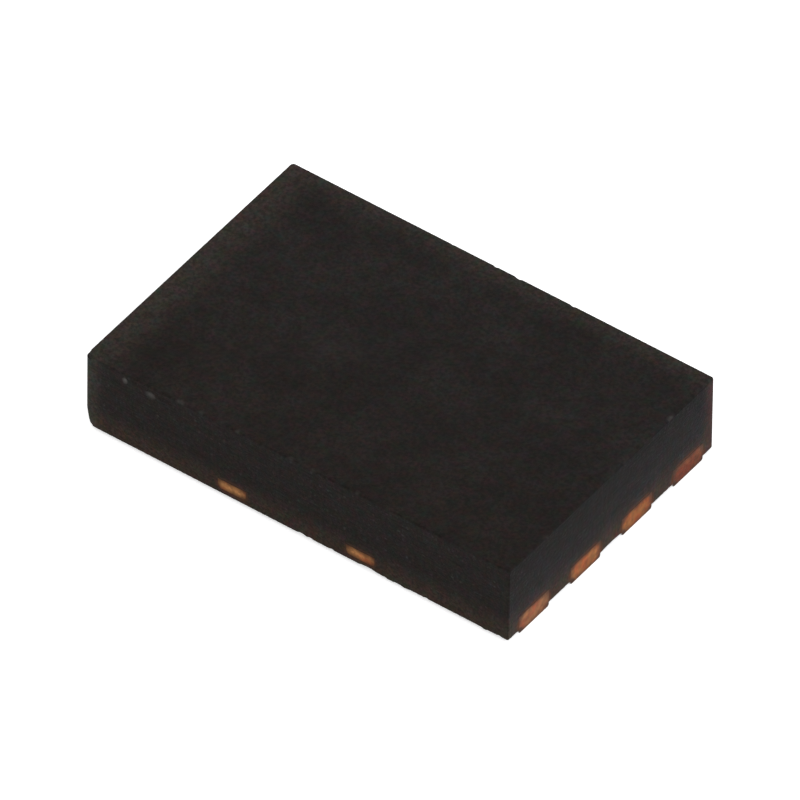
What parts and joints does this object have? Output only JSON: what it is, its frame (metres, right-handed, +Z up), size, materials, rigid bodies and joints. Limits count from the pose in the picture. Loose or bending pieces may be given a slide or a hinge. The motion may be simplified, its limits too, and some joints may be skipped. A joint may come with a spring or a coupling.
{
  "type": "amplifier chip",
  "caption": "Small black leadless semiconductor package with copper lead ends flush in its sides and an exposed pad underneath.",
  "frame": {"origin": "middle of the base, on the seating plane under the leads and the exposed pad", "axes": "+X along the long side, from the row of leads 1 to 4 towards the row of leads 5 to 8; +Y along the rows, towards leads 1 and 8; +Z up, out of the top face"},
  "size_m": [0.003, 0.002, 0.0006],
  "materials": {
    "mould_compound": "matt moulded top, fine sawn sides",
    "copper": "bare sawn copper at the sides, matt tin underneath",
    "silver_glue": "matt, metal filled",
    "silicon": "polished with circuit pattern",
    "gold": "drawn wire"
  },
  "bodies": {
    "root": {"mould_body": "mould_compound", "die_pad": "copper", "lead_1": "copper", "lead_2": "copper", "lead_3": "copper", "lead_4": "copper", "lead_5": "copper", "lead_6": "copper", "lead_7": "copper", "lead_8": "copper", "die_attach": "silver_glue", "die": "silicon", "wire_1": "gold", "wire_2": "gold", "wire_3": "gold", "wire_4": "gold", "wire_5": "gold", "wire_6": "gold", "wire_7": "gold", "wire_8": "gold"}
  },
  "joints": []
}
